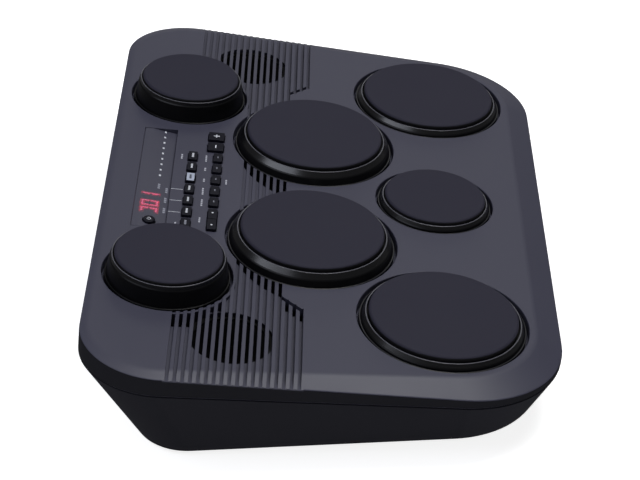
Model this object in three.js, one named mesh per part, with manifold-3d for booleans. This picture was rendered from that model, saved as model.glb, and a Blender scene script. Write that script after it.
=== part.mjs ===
// Seven-pad table-top electronic drum, in millimetres, +Z up, standing on four rubber feet.
//
// Row frame: +X is the player's right, +Y the rear (display side), -Y the player's side. The
// origin is the centre of the footprint's bounding box, at the bottom of the feet.
// Deck frame: the top casing and everything mounted in it is drawn flat, with z = 0 on the deck
// face and y = 0 on the row of middle pads, and then tilted by DECK.tilt so that the rear rises.

import * as THREE from 'three';
import { mergeVertices } from 'three/addons/utils/BufferGeometryUtils.js';
import Module from 'manifold-3d';

const wasm = await Module();
wasm.setup();

// ---------------------------------------------------------------- driving dimensions

const GAP = 0.3; // clearance between pieces that touch in the real object
const WALL = 2.5; // wall thickness of both casings
const THROUGH = 60; // length of a cutter that has to pass right through a wall
const FOOT = { radius: 9, height: 3 };
const DECK = { tilt: THREE.MathUtils.degToRad(5.88), heightAboveTray: 69.3 };

// Outlines are trapezoids with round corners: half = halfAtZero + flare * y.
const EDGE = {
  half: 238.5, flare: 0.0643, front: -172.6, rear: 151.1, frontRadius: 74.2, rearRadius: 53.5,
};
const DECK_FACE = {
  half: 226.5, flare: 0.105, front: -154.2, rear: 146.8, frontRadius: 63, rearRadius: 50,
};
const TRAY_FOOT = {
  half: 213.8, flare: 0.084, front: -146.5, rear: 126, frontRadius: 63.4, rearRadius: 36,
};
const CORNER_STEPS = 8;

// Planes that cross the casing's side, as height in the deck frame at y = 0 and slope along y.
const BEVEL_FOOT = { height: -4.55, slope: 0.0223 };
const PARTING = { height: -14.7, slope: -0.0116 };

// Pads: rubber radius, rubber top, lip and shoulder of the ring, ring foot and casing opening.
const MID = {
  radius: 50, top: 10.7, lipRadius: 52.6, lip: 7.4, shoulderRadius: 56.6, shoulder: 3.9, footRadius: 59.4,
  opening: 61.3,
};
const FRONT = {
  radius: 50, top: 6.6, lipRadius: 52.7, lip: 3.2, shoulderRadius: 55.6, shoulder: 0.6, footRadius: 57.2,
  opening: 58.9,
};
const CENTRE = {
  radius: 36, top: 6, lipRadius: 38.3, lip: 2.9, shoulderRadius: 40.6, shoulder: 0.6, footRadius: 41.9,
  opening: 43.4,
};
const REAR = {
  radius: 36, top: 17.5, lipRadius: 38.5, lip: 14.9, shoulderRadius: 39.8, shoulder: 12.4, footRadius: 43.2,
  opening: 45,
};
const PADS = [
  { name: 'rear_left', x: -125.35, y: 98, kind: REAR },
  { name: 'rear_right', x: 125.35, y: 98, kind: REAR },
  { name: 'mid_left', x: -67.6, y: 0, kind: MID },
  { name: 'mid_right', x: 67.6, y: 0, kind: MID },
  { name: 'front_left', x: -153.35, y: -90.35, kind: FRONT },
  { name: 'front_right', x: 153.35, y: -90.35, kind: FRONT },
  { name: 'front_centre', x: 0, y: -90.15, kind: CENTRE },
];
const REAR_PAD = PADS[1];
const MID_PAD = PADS[3];
const RUBBER = { thickness: 6, edge: 1.3 };
const PAD_SEAT = { width: 5.6, thickness: 2 }; // the ring's inner ledge, under the steel plate
const PLATE = { thickness: 1.5, sensorRadius: 13, sensorHeight: 4 };
const WELL = { floor: -8, floorThickness: 2, ledge: 12, collar: 2 };
const PAD_SEGMENTS = 24;

// Rib fields: grooves run along x between the rear and middle pads, down to the bevel's foot.
const GROOVE = { count: 18, pitch: 5, width: 2.4, firstY: 90.5, undercut: 0.35 };
const FIELD = { underside: -6.4, inner: 95, front: 2.5, rear: 93 };
const GRILLE = { x: 189.4, y: 51.6, radius: 28.9 };
const NOTCH_ARC = { x: 75.7, y: -13.3, radius: 69 }; // where the groove floors end beside a middle pad
const DIAGONAL = { x: 141.1, y: 19.2, run: 13.9, drop: 14.6, ribGap: 4.2, floorGap: 8 };
const REAR_SLOT = { end: 184, taper: 0.12 }; // how far the open rear grooves reach, at firstY

// Control panel.
const KEY = { pitch: 15.6, width: 11.6, depth: 6.8, proud: 2, travel: 0.8, clearance: 0.4 };
const KEY_FLANGE = { top: -2.9, height: 1.2, margin: 1.1, stem: 3.4, stemSize: 4 };
const REAR_KEYS = { y: 89.85, slots: [-4, -3, -2, -1, 0, 1, 2] };
const FRONT_KEYS = { y: 71.3, slots: [-2, -1, 0, 1, 2] };
const WIDE_KEYS = { y: 73.7, depth: 12, slots: [3, 4] };
const ROCKER = { x: -3.5 * KEY.pitch, y: 71.3, width: 27.2 };
const KEY_HOLE_DEPTH = 6;
const WINDOW = { half: 69.5, front: 103.3, rear: 128.2, flush: 122, drop: 3.4, thickness: 2, ledge: 3 };
const DISPLAY_FRAME = { margin: 3.5, underside: -9 };
const POWER_KEY = {
  x: -59.5, y: 115.8, radius: 4.5, top: 0.6, bevel: 0.7,
  flange: 1, flangeTop: -5.8, flangeFoot: -7, stem: 2, stemFoot: -9.6,
};
const CONTROL_BOARD = {
  half: 76, front: 62, rear: 126, top: -11.6, thickness: 1.6, postX: 73, postY: [66, 96], switchHalf: 3,
};
const DIGITS = { x: -34.7, y: 116.6, width: 34, depth: 16, top: -5.9 };

// Sound and electronics.
const SPEAKER = {
  frameRadius: 30.5, flange: 1.6, coneRadius: 26, capRadius: 7, coneDrop: 9, paper: 0.8, domeRise: 2.4,
  depth: 17, backRadius: 10, backThickness: 1.5, magnetRadius: 17, magnet: 9,
};
const MAIN_BOARD = { x: 0, y: 88, width: 150, depth: 60, thickness: 1.6, height: 12 };
const CHIPS = [
  { x: 0, y: 0, width: 24, depth: 24, height: 2 }, // processor
  { x: 47.5, y: -14, width: 25, depth: 12, height: 9 }, // amplifier and its heat sink
  { x: -48, y: -17, width: 28, depth: 10, height: 12 }, // capacitors
];
const POST = { radius: 2.5, inset: 6 }; // stand-offs that the boards are screwed to

// Tray features, in the row frame.
const JACK_BAY = { half: 84, y: 139, bottom: 26, top: 57 };
const JACK_Z = 42;
const JACK = { proud: 1.5, shoulder: 2, bodyDepth: 16, boreDepth: 14, pinRecess: 2 };
const JACKS = [
  { name: 'dc_inlet', x: -66, radius: 5.2, bore: 2.8, pin: 1 },
  { name: 'headphone_socket', x: -34, radius: 6, bore: 3.3 },
  { name: 'aux_socket', x: -4, radius: 4.2, bore: 1.8 },
  { name: 'kick_pedal_socket', x: 26, radius: 6, bore: 3.3 },
  { name: 'hihat_pedal_socket', x: 56, radius: 6, bore: 3.3 },
];
const BATTERY = { half: 54, front: -38, rear: 22, roof: 24 };
const DOOR = { margin: 3, slack: 0.5, thickness: 2 };
const LATCH = { half: 12, inset: 4, depth: 3, rise: 5 }; // the battery door's clip
const CONTACT = { cells: 3, inset: 4, bottom: 8, top: 21, stud: 2.5, tip: 1.5, base: 3.5, height: 14 };
const SCREWS = [[-150, 100], [150, 100], [-190, -20], [190, -20], [-120, -118], [120, -118]];
const SCREW_BOSS = { radius: 5.5, height: 22, recess: 3.4, recessDepth: 16 };
const FEET = [
  ['front_left', -160, -112],
  ['front_right', 160, -112],
  ['rear_left', -185, 92],
  ['rear_right', 185, 92],
];

// ---------------------------------------------------------------- materials

function finish(red, green, blue, roughness, metalness = 0) {
  const color = new THREE.Color().setRGB(red / 255, green / 255, blue / 255, THREE.SRGBColorSpace);
  return new THREE.MeshStandardMaterial({ color, roughness, metalness });
}

const MATERIAL = {
  deck: finish(74, 74, 84, 0.6),
  tray: finish(38, 38, 44, 0.65),
  rubber: finish(46, 45, 54, 0.85),
  ring: finish(22, 22, 26, 0.25),
  steel: finish(150, 152, 155, 0.35, 0.9),
  key: finish(28, 28, 33, 0.5),
  light_key: finish(170, 175, 188, 0.5),
  window: finish(40, 40, 46, 0.15),
  display: finish(90, 12, 24, 0.4),
  board: finish(24, 74, 44, 0.6),
  speaker: finish(26, 26, 28, 0.5, 0.3),
  cone: finish(18, 18, 20, 0.9),
  socket: finish(14, 14, 15, 0.5),
  foot: finish(20, 20, 21, 0.9),
};

// ---------------------------------------------------------------- solids and booleans

function solid(geometry) {
  const bare = geometry.clone();
  bare.deleteAttribute('normal');
  bare.deleteAttribute('uv');
  const welded = mergeVertices(bare, 1e-4);
  return new wasm.Manifold(new wasm.Mesh({
    numProp: 3,
    vertProperties: new Float32Array(welded.attributes.position.array),
    triVerts: new Uint32Array(welded.index.array),
  }));
}

function geometryOf(body) {
  const { vertProperties, triVerts } = body.getMesh();
  const geometry = new THREE.BufferGeometry();
  geometry.setAttribute('position', new THREE.BufferAttribute(vertProperties, 3));
  geometry.setIndex(new THREE.BufferAttribute(triVerts, 1));
  geometry.computeVertexNormals();
  return geometry;
}

function box(x0, x1, y0, y1, z0, z1) {
  const geometry = new THREE.BoxGeometry(x1 - x0, y1 - y0, z1 - z0);
  return geometry.translate((x0 + x1) / 2, (y0 + y1) / 2, (z0 + z1) / 2);
}

// A round bar standing on z0, up to z1.
function bar(x, y, radius, z0, z1, segments = PAD_SEGMENTS) {
  const geometry = new THREE.CylinderGeometry(radius, radius, z1 - z0, segments);
  return geometry.rotateX(Math.PI / 2).translate(x, y, (z0 + z1) / 2);
}

// A solid of revolution about a vertical axis; points are [radius, height].
function turned(x, y, points, segments = PAD_SEGMENTS) {
  const profile = points.map(([radius, height]) => new THREE.Vector2(radius, height));
  return new THREE.LatheGeometry(profile, segments).rotateX(Math.PI / 2).translate(x, y, 0);
}

// A solid whose section in the y-z plane is given, between x0 and x1.
function alongX(points, x0, x1) {
  const shape = new THREE.Shape(points.map(([y, z]) => new THREE.Vector2(y, z)));
  const geometry = new THREE.ExtrudeGeometry(shape, { depth: x1 - x0, bevelEnabled: false });
  const turn = new THREE.Matrix4().makeBasis(
    new THREE.Vector3(0, 1, 0), new THREE.Vector3(0, 0, 1), new THREE.Vector3(1, 0, 0),
  );
  return geometry.applyMatrix4(turn).translate(x0, 0, 0);
}

// A trapezoid with round corners, counter-clockwise, moved inwards by inset.
function outline(shape, inset = 0) {
  const half = (y) => shape.half + shape.flare * y - inset;
  const front = shape.front + inset;
  const rear = shape.rear - inset;
  const corners = [
    { at: new THREE.Vector2(-half(front), front), radius: shape.frontRadius - inset },
    { at: new THREE.Vector2(half(front), front), radius: shape.frontRadius - inset },
    { at: new THREE.Vector2(half(rear), rear), radius: shape.rearRadius - inset },
    { at: new THREE.Vector2(-half(rear), rear), radius: shape.rearRadius - inset },
  ];
  return corners.flatMap(({ at, radius }, i) => {
    const before = corners[(i + 3) % 4].at.clone().sub(at).normalize();
    const after = corners[(i + 1) % 4].at.clone().sub(at).normalize();
    const halfAngle = Math.acos(before.dot(after)) / 2;
    const middle = before.clone().add(after).setLength(radius / Math.sin(halfAngle)).add(at);
    const start = before.clone().multiplyScalar(radius / Math.tan(halfAngle)).add(at).sub(middle).angle();
    const turn = Math.PI - 2 * halfAngle;
    return Array.from({ length: CORNER_STEPS + 1 }, (_, step) => {
      const angle = start + (turn * step) / CORNER_STEPS;
      return new THREE.Vector2(Math.cos(angle), Math.sin(angle)).multiplyScalar(radius).add(middle);
    });
  });
}

const edgeHeight = (plane, y) => plane.height + plane.slope * y;

const level = (height) => ({ height, slope: 0 });

// The outline lifted onto a plane that slopes along y.
function ring(shape, plane, inset = 0, lift = 0) {
  return outline(shape, inset).map((p) => new THREE.Vector3(p.x, p.y, edgeHeight(plane, p.y) + lift));
}

// A closed skin over rings of equal length, listed from the bottom up.
function loft(rings) {
  const count = rings[0].length;
  const position = rings.flat().flatMap((p) => [p.x, p.y, p.z]);
  const index = [];
  for (let layer = 0; layer + 1 < rings.length; layer += 1) {
    for (let i = 0; i < count; i += 1) {
      const a = layer * count + i;
      const b = layer * count + ((i + 1) % count);
      index.push(a, b, b + count, a, b + count, a + count);
    }
  }
  const top = (rings.length - 1) * count;
  for (let i = 1; i + 1 < count; i += 1) {
    index.push(0, i + 1, i, top, top + i, top + i + 1);
  }
  const geometry = new THREE.BufferGeometry();
  geometry.setAttribute('position', new THREE.Float32BufferAttribute(position, 3));
  geometry.setIndex(index);
  return geometry;
}

const joined = (geometries) => geometries.map(solid).reduce((whole, piece) => whole.add(piece));

function cut(whole, geometries) {
  return geometries.map(solid).reduce((rest, piece) => rest.subtract(piece), whole);
}

// ---------------------------------------------------------------- placing the deck

const sine = Math.sin(DECK.tilt);
const cosine = Math.cos(DECK.tilt);
const frontReach = EDGE.front * cosine - edgeHeight(BEVEL_FOOT, EDGE.front) * sine;
const rearReach = EDGE.rear * cosine - edgeHeight(PARTING, EDGE.rear) * sine;
const deckGroup = new THREE.Group();
deckGroup.rotation.x = DECK.tilt;
deckGroup.position.set(0, -(frontReach + rearReach) / 2, DECK.heightAboveTray + FOOT.height);
deckGroup.updateMatrix();

const object = new THREE.Group();
object.add(deckGroup);

function place(group, name, material, geometry) {
  const mesh = new THREE.Mesh(geometry, MATERIAL[material]);
  mesh.name = name;
  group.add(mesh);
}

// ---------------------------------------------------------------- top casing

// The hollow casing, with the given pieces joined to it where they lie inside its outer shape.
function casingWith(fillings) {
  const outside = solid(loft([
    ring(EDGE, PARTING), ring(EDGE, BEVEL_FOOT), ring(DECK_FACE, level(0)),
  ]));
  const inside = solid(loft([
    ring(EDGE, PARTING, WALL, -THROUGH),
    ring(EDGE, BEVEL_FOOT, WALL, -WALL),
    ring(DECK_FACE, level(-WALL), WALL),
  ]));
  return outside.subtract(inside).add(joined(fillings).intersect(outside));
}

// The wells that the pads stand in: a collar and a floor with a large hole.
function wellBlock({ x, y, kind }) {
  return bar(x, y, kind.opening + WELL.collar, WELL.floor - WELL.floorThickness, -WALL / 2);
}

function wellCuts({ x, y, kind }) {
  return [
    bar(x, y, kind.opening, WELL.floor, THROUGH),
    bar(x, y, kind.opening - WELL.ledge, -THROUGH, THROUGH),
  ];
}

const grooveY = (index) => GROOVE.firstY - GROOVE.pitch * index;
const grooveFloor = (y) => edgeHeight(BEVEL_FOOT, y) - GROOVE.undercut;

// How far the ribs and the groove floors reach inwards at y, measured from the middle plane.
function diagonalX(y) {
  return DIAGONAL.x + (DIAGONAL.run * (DIAGONAL.y - y)) / DIAGONAL.drop;
}

// A box whose x is measured outwards from the middle plane, on either side.
function sideBox(side, x0, x1, y0, y1, z0, z1) {
  return box(Math.min(side * x0, side * x1), Math.max(side * x0, side * x1), y0, y1, z0, z1);
}

// The plate under one side's ribs, in one piece with the deck.
function fieldBlock(side) {
  return sideBox(side, FIELD.inner, 2 * EDGE.half, FIELD.front, FIELD.rear, FIELD.underside, -WALL / 2);
}

// Where the groove at y begins: inside the opening of the pad it runs out of, or at the diagonal.
function innerEnd(y) {
  if (y < DIAGONAL.y) {
    return diagonalX(y);
  }
  return y > REAR_PAD.y - REAR.opening ? REAR_PAD.x : MID_PAD.x;
}

// The long shallow channel between two ribs.
function groove(side, index) {
  const y = grooveY(index);
  const half = GROOVE.width / 2;
  return sideBox(side, innerEnd(y), 2 * EDGE.half, y - half, y + half, grooveFloor(y), THROUGH);
}

// The stretches of a groove that are open right through, as [from, to] measured outwards.
function openStretches(index) {
  const y = grooveY(index);
  const halfChord = Math.sqrt(Math.max(0, GRILLE.radius ** 2 - (y - GRILLE.y) ** 2));
  const stretches = [];
  if (halfChord > 0) {
    stretches.push([GRILLE.x - halfChord, GRILLE.x + halfChord]);
  }
  if (index < 3) {
    stretches.push([REAR_PAD.x, REAR_SLOT.end - REAR_SLOT.taper * (GROOVE.firstY - y)]);
  } else if (index < 5) {
    stretches.push([REAR_PAD.x, GRILLE.x]);
  } else if (index < 7) {
    stretches.push([REAR_PAD.x, GRILLE.x - halfChord - 1]);
  } else if (index > 7 && y > DIAGONAL.y) {
    stretches.push([MID_PAD.x, NOTCH_ARC.x + Math.sqrt(NOTCH_ARC.radius ** 2 - (y - NOTCH_ARC.y) ** 2)]);
  } else if (y < DIAGONAL.y) {
    stretches.push([diagonalX(y), diagonalX(y) + DIAGONAL.floorGap]);
  }
  return stretches;
}

function openSlots(side, index) {
  const y = grooveY(index);
  return openStretches(index).map(([from, to]) => (
    sideBox(side, from, to, y - GROOVE.width / 2, y + GROOVE.width / 2, -THROUGH, THROUGH)
  ));
}

// Beside the diagonal the ribs stop short of the deck, which leaves a slanted slot.
function diagonalSlot(side) {
  const rear = DIAGONAL.y;
  const front = DIAGONAL.y - DIAGONAL.drop;
  const corners = [
    [diagonalX(rear), rear], [diagonalX(rear) + DIAGONAL.ribGap, rear],
    [diagonalX(front) + DIAGONAL.ribGap, front], [diagonalX(front), front],
  ];
  const shape = new THREE.Shape(corners.map(([x, y]) => new THREE.Vector2(side * x, y)));
  const geometry = new THREE.ExtrudeGeometry(shape, { depth: 2 * THROUGH, bevelEnabled: false });
  return geometry.translate(0, 0, -THROUGH);
}

const keyX = (slot) => slot * KEY.pitch;

function keyHole(x, y, width, depth) {
  const w = width / 2 + KEY.clearance;
  const d = depth / 2 + KEY.clearance;
  return box(x - w, x + w, y - d, y + d, -KEY_HOLE_DEPTH, THROUGH);
}

function keyHoles() {
  return [
    ...REAR_KEYS.slots.map((slot) => keyHole(keyX(slot), REAR_KEYS.y, KEY.width, KEY.depth)),
    ...FRONT_KEYS.slots.map((slot) => keyHole(keyX(slot), FRONT_KEYS.y, KEY.width, KEY.depth)),
    ...WIDE_KEYS.slots.map((slot) => keyHole(keyX(slot), WIDE_KEYS.y, KEY.width, WIDE_KEYS.depth)),
    keyHole(ROCKER.x, ROCKER.y, ROCKER.width, KEY.depth),
  ];
}

// The window's face is flush with the deck along its rear and slopes down towards the player.
function windowFace(y) {
  return -GAP - (WINDOW.drop * Math.max(0, WINDOW.flush - y)) / (WINDOW.flush - WINDOW.front);
}

// The section of the window, or of the pocket over it, between the given ends and sunk by depth.
function windowSection(front, rear, depth, top) {
  const under = [front, WINDOW.flush, rear].map((y) => [y, windowFace(y) - depth]);
  return [...under, ...top];
}

function displayFrame() {
  const { margin, underside } = DISPLAY_FRAME;
  return box(
    -WINDOW.half - margin, WINDOW.half + margin,
    WINDOW.front - margin, WINDOW.rear + margin, underside, -WALL / 2,
  );
}

function displayCuts() {
  const { front, rear, thickness } = WINDOW;
  const windowPocket = windowSection(front, rear, thickness + GAP, [[rear, THROUGH], [front, THROUGH]]);
  return [
    alongX(windowPocket, -WINDOW.half, WINDOW.half),
    box(
      -WINDOW.half + WINDOW.ledge, WINDOW.half - WINDOW.ledge,
      WINDOW.front + WINDOW.ledge, WINDOW.rear - WINDOW.ledge, -THROUGH, THROUGH,
    ),
  ];
}

function controlBoardPosts() {
  const { postX, postY, top } = CONTROL_BOARD;
  return [-postX, postX].flatMap((x) => postY.map((y) => bar(x, y, POST.radius, top + GAP, -WALL / 2, 8)));
}

function topShell() {
  const sides = [-1, 1];
  const indices = Array.from({ length: GROOVE.count }, (_, index) => index);
  const lowWells = PADS.filter((pad) => pad.kind !== REAR).map(wellBlock);
  const rearWells = PADS.filter((pad) => pad.kind === REAR).map(wellBlock);
  const blank = casingWith([
    displayFrame(), ...controlBoardPosts(), ...sides.map(fieldBlock), ...lowWells,
  ]);
  const ribbed = cut(blank, [
    ...sides.flatMap((side) => indices.map((index) => groove(side, index))),
    ...sides.flatMap((side) => indices.flatMap((index) => openSlots(side, index))),
    ...sides.map(diagonalSlot),
  ]);
  return geometryOf(cut(ribbed.add(joined(rearWells)), [
    ...PADS.flatMap(wellCuts),
    ...displayCuts(),
    ...keyHoles(),
  ]));
}

// ---------------------------------------------------------------- pads

function padRubber({ x, y, kind }) {
  const { top, radius } = kind;
  const side = radius + RUBBER.edge;
  const bottom = top - RUBBER.thickness;
  return turned(x, y, [[0, bottom], [side, bottom], [side, top - RUBBER.edge], [radius, top], [0, top]]);
}

const ledgeHeight = (kind) => kind.top - RUBBER.thickness - PLATE.thickness - 2 * GAP;

function padRing({ x, y, kind }) {
  const { radius, lipRadius, lip, shoulderRadius, shoulder, footRadius } = kind;
  const ledge = ledgeHeight(kind);
  const inner = radius + RUBBER.edge + GAP;
  const seat = inner - PAD_SEAT.width;
  const foot = WELL.floor + GAP;
  return turned(x, y, [
    [footRadius - WALL, foot], [footRadius, foot], [shoulderRadius, shoulder], [lipRadius, lip],
    [inner, lip], [inner, ledge], [seat, ledge], [seat, ledge - PAD_SEAT.thickness],
    [footRadius - WALL, foot],
  ]);
}

// The steel plate under a rubber, with its sensor below.
function padPlate({ x, y, kind }) {
  const top = kind.top - RUBBER.thickness - GAP;
  const under = top - PLATE.thickness;
  const { sensorRadius, sensorHeight } = PLATE;
  return turned(x, y, [
    [0, under - sensorHeight], [sensorRadius, under - sensorHeight], [sensorRadius, under],
    [kind.radius, under], [kind.radius, top], [0, top],
  ], 16);
}

// ---------------------------------------------------------------- control panel

// A key cap with the flange that keeps it under the deck and the stem that presses its switch.
function keyCap(x, y, width, depth) {
  const w = width / 2;
  const d = depth / 2;
  const { top, height, margin, stem, stemSize } = KEY_FLANGE;
  const s = stemSize / 2;
  return geometryOf(joined([
    box(x - w, x + w, y - d, y + d, top - height / 2, KEY.proud),
    box(x - w - margin, x + w + margin, y - d - margin, y + d + margin, top - height, top),
    box(x - s, x + s, y - s, y + s, top - height - stem, top - height / 2),
  ]));
}

// The rocker has a pivot rail under its middle and no stem.
function rockerCap() {
  const { x, y, width } = ROCKER;
  const w = width / 2;
  const d = KEY.depth / 2;
  const { top, height, stemSize } = KEY_FLANGE;
  return geometryOf(joined([
    box(x - w, x + w, y - d, y + d, top - height, KEY.proud),
    box(x - stemSize / 4, x + stemSize / 4, y - d, y + d, top - height - stemSize, top - height / 2),
  ]));
}

function displayWindow() {
  const front = WINDOW.front + GAP;
  const rear = WINDOW.rear - GAP;
  const face = [rear, WINDOW.flush, front].map((y) => [y, windowFace(y)]);
  const pane = alongX(
    windowSection(front, rear, WINDOW.thickness, face), -WINDOW.half + GAP, WINDOW.half - GAP,
  );
  const { x, y, radius } = POWER_KEY;
  return geometryOf(cut(solid(pane), [bar(x, y, radius + KEY.clearance, -THROUGH, THROUGH)]));
}

function powerKey() {
  const { x, y, radius, top, bevel, flange, flangeTop, flangeFoot, stem, stemFoot } = POWER_KEY;
  return turned(x, y, [
    [0, stemFoot], [stem, stemFoot], [stem, flangeFoot], [radius + flange, flangeFoot],
    [radius + flange, flangeTop], [radius, flangeTop], [radius, top - bevel], [radius - bevel, top],
    [0, top],
  ]);
}

function controlBoard() {
  const { half, front, rear, top, thickness, switchHalf: s } = CONTROL_BOARD;
  const switchTop = KEY_FLANGE.top - KEY_FLANGE.height - KEY_FLANGE.stem - KEY.travel - GAP;
  const spots = [
    ...REAR_KEYS.slots.map((slot) => [keyX(slot), REAR_KEYS.y]),
    ...FRONT_KEYS.slots.map((slot) => [keyX(slot), FRONT_KEYS.y]),
    ...WIDE_KEYS.slots.map((slot) => [keyX(slot), WIDE_KEYS.y]),
  ];
  const switches = spots.map(([x, y]) => box(x - s, x + s, y - s, y + s, top - thickness / 2, switchTop));
  return geometryOf(joined([box(-half, half, front, rear, top - thickness, top), ...switches]));
}

function ledDisplay() {
  const { x, y, width, depth, top } = DIGITS;
  return box(x - width / 2, x + width / 2, y - depth / 2, y + depth / 2, CONTROL_BOARD.top + GAP, top);
}

// ---------------------------------------------------------------- sound

function speakerFrame(side) {
  const { frameRadius, flange, coneRadius, backRadius, backThickness, magnetRadius, magnet } = SPEAKER;
  const top = FIELD.underside - GAP;
  const back = top - SPEAKER.depth;
  return turned(side * GRILLE.x, GRILLE.y, [
    [0, back - magnet], [magnetRadius, back - magnet], [magnetRadius, back], [coneRadius + 1, top - flange],
    [frameRadius, top - flange], [frameRadius, top], [coneRadius, top], [coneRadius, top - flange],
    [backRadius, back + backThickness], [0, back + backThickness],
  ]);
}

function speakerCone(side) {
  const { coneRadius, capRadius, coneDrop, paper, domeRise } = SPEAKER;
  const rim = coneRadius - 1;
  const top = FIELD.underside - GAP;
  const neck = top - coneDrop;
  return turned(side * GRILLE.x, GRILLE.y, [
    [0, neck - paper], [capRadius, neck - paper], [rim, top - paper], [rim, top], [capRadius, neck],
    [capRadius / 2, neck + 0.75 * domeRise], [0, neck + domeRise],
  ]);
}

// ---------------------------------------------------------------- tray

function trayRim(inset, lift) {
  return ring(EDGE, PARTING, inset, lift).map((p) => p.applyMatrix4(deckGroup.matrix));
}

function boardPosts() {
  const { x, y, width, depth, height } = MAIN_BOARD;
  const w = width / 2 - POST.inset;
  const d = depth / 2 - POST.inset;
  return [x - w, x + w].flatMap((px) => (
    [y - d, y + d].map((py) => bar(px, py, POST.radius, FOOT.height, height - GAP, 8))
  ));
}

function jackHoles() {
  return JACKS.map(({ x, radius }) => {
    const hole = new THREE.CylinderGeometry(radius + GAP, radius + GAP, 4 * WALL, 20);
    return hole.translate(x, JACK_BAY.y, JACK_Z);
  });
}

// The recess in the rear wall, or with a margin the box that stands round it.
function jackBay(margin) {
  const { half, y, bottom, top } = JACK_BAY;
  return box(-half - margin, half + margin, y - margin, 2 * y, bottom - margin, top + margin);
}

// The room for the cells, or with a margin what stands round it, from below the tray up to roof.
function batteryRoom(margin, roof) {
  const { half, front, rear } = BATTERY;
  return box(-half - margin, half + margin, front - margin, rear + margin, -1, roof);
}

function screwBars(radius, height) {
  return SCREWS.map(([x, y]) => bar(x, y, radius, -1, FOOT.height + height, 16));
}

function bottomTray() {
  const floor = FOOT.height;
  const outside = solid(loft([ring(TRAY_FOOT, level(floor)), trayRim(0, -GAP)]));
  const inside = loft([
    ring(TRAY_FOOT, level(floor + WALL), WALL), trayRim(WALL, 0), trayRim(WALL, THROUGH),
  ]);
  const rooms = cut(solid(inside), [
    ...boardPosts(),
    jackBay(WALL),
    batteryRoom(WALL, BATTERY.roof + WALL),
    ...screwBars(SCREW_BOSS.radius, SCREW_BOSS.height),
  ]);
  return geometryOf(cut(outside.subtract(rooms), [
    jackBay(0),
    batteryRoom(0, BATTERY.roof),
    batteryRoom(DOOR.margin, floor + DOOR.thickness + GAP),
    ...screwBars(SCREW_BOSS.recess, SCREW_BOSS.recessDepth),
    ...jackHoles(),
  ]));
}

// A panel socket: a bush through the rear panel with its body behind it.
function jack({ x, radius, bore, pin }) {
  const front = JACK_BAY.y + JACK.proud;
  const nut = JACK_BAY.y - WALL - GAP;
  const back = nut - JACK.bodyDepth;
  const end = nut - JACK.boreDepth;
  const tip = front - JACK.pinRecess;
  const body = radius + JACK.shoulder;
  const middle = pin ? [[0, back], [0, tip], [pin, tip], [pin, end]] : [[0, back], [0, end]];
  const bush = [
    ...middle, [bore, end], [bore, front], [radius, front], [radius, nut], [body, nut], [body, back],
  ];
  const profile = [...bush, bush[0]].map(([r, y]) => new THREE.Vector2(r, y));
  return new THREE.LatheGeometry(profile.reverse(), 20).translate(x, 0, JACK_Z);
}

function batteryDoor() {
  const { half, front, rear } = BATTERY;
  const margin = DOOR.margin - DOOR.slack;
  const floor = FOOT.height;
  const top = floor + DOOR.thickness;
  const latch = rear - LATCH.inset;
  return geometryOf(joined([
    box(-half - margin, half + margin, front - margin, rear + margin, floor, top),
    box(-LATCH.half, LATCH.half, latch, latch + LATCH.depth, floor + DOOR.thickness / 2, top + LATCH.rise),
  ]));
}

// A contact plate with one raised stud for each of its three cells.
function batteryContacts(side) {
  const { half, front, rear } = BATTERY;
  const { cells, inset, bottom, top, stud, tip, base, height } = CONTACT;
  const wall = side * (half - GAP);
  const pitch = (rear - front) / cells;
  const studs = Array.from({ length: cells }, (_, cell) => {
    const cone = new THREE.CylinderGeometry(tip, base, stud, 12).rotateZ(side * Math.PI / 2);
    return cone.translate(wall - side * (0.2 + stud * 0.6), front + pitch * (cell + 0.5), height);
  });
  const inner = wall - side;
  const plate = box(Math.min(wall, inner), Math.max(wall, inner), front + inset, rear - inset, bottom, top);
  return geometryOf(joined([plate, ...studs]));
}

function mainBoard() {
  const { x, y, width, depth, thickness, height } = MAIN_BOARD;
  const top = height + thickness;
  const chips = CHIPS.map((chip) => {
    const block = new THREE.BoxGeometry(chip.width, chip.depth, chip.height + thickness / 2);
    return block.translate(x + chip.x, y + chip.y, top + chip.height / 2 - thickness / 4);
  });
  const board = box(x - width / 2, x + width / 2, y - depth / 2, y + depth / 2, height, top);
  return geometryOf(joined([board, ...chips]));
}

// ---------------------------------------------------------------- assembly

place(deckGroup, 'top_shell', 'deck', topShell());
place(object, 'bottom_tray', 'tray', bottomTray());

for (const pad of PADS) {
  place(deckGroup, `pad_rubber_${pad.name}`, 'rubber', padRubber(pad));
  place(deckGroup, `pad_ring_${pad.name}`, 'ring', padRing(pad));
  place(deckGroup, `pad_plate_${pad.name}`, 'steel', padPlate(pad));
}

REAR_KEYS.slots.forEach((slot, i) => {
  const material = slot === 0 ? 'light_key' : 'key';
  place(deckGroup, `rear_key_${i + 1}`, material, keyCap(keyX(slot), REAR_KEYS.y, KEY.width, KEY.depth));
});
FRONT_KEYS.slots.forEach((slot, i) => {
  place(deckGroup, `front_key_${i + 1}`, 'key', keyCap(keyX(slot), FRONT_KEYS.y, KEY.width, KEY.depth));
});
WIDE_KEYS.slots.forEach((slot, i) => {
  const name = ['value_down_key', 'value_up_key'][i];
  place(deckGroup, name, 'key', keyCap(keyX(slot), WIDE_KEYS.y, KEY.width, WIDE_KEYS.depth));
});
place(deckGroup, 'volume_rocker', 'key', rockerCap());
place(deckGroup, 'power_key', 'key', powerKey());
place(deckGroup, 'display_window', 'window', displayWindow());
place(deckGroup, 'led_display', 'display', ledDisplay());
place(deckGroup, 'control_board', 'board', controlBoard());

for (const [name, side] of [['left', -1], ['right', 1]]) {
  place(deckGroup, `speaker_frame_${name}`, 'speaker', speakerFrame(side));
  place(deckGroup, `speaker_cone_${name}`, 'cone', speakerCone(side));
  place(object, `battery_contacts_${name}`, 'steel', batteryContacts(side));
}

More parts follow.
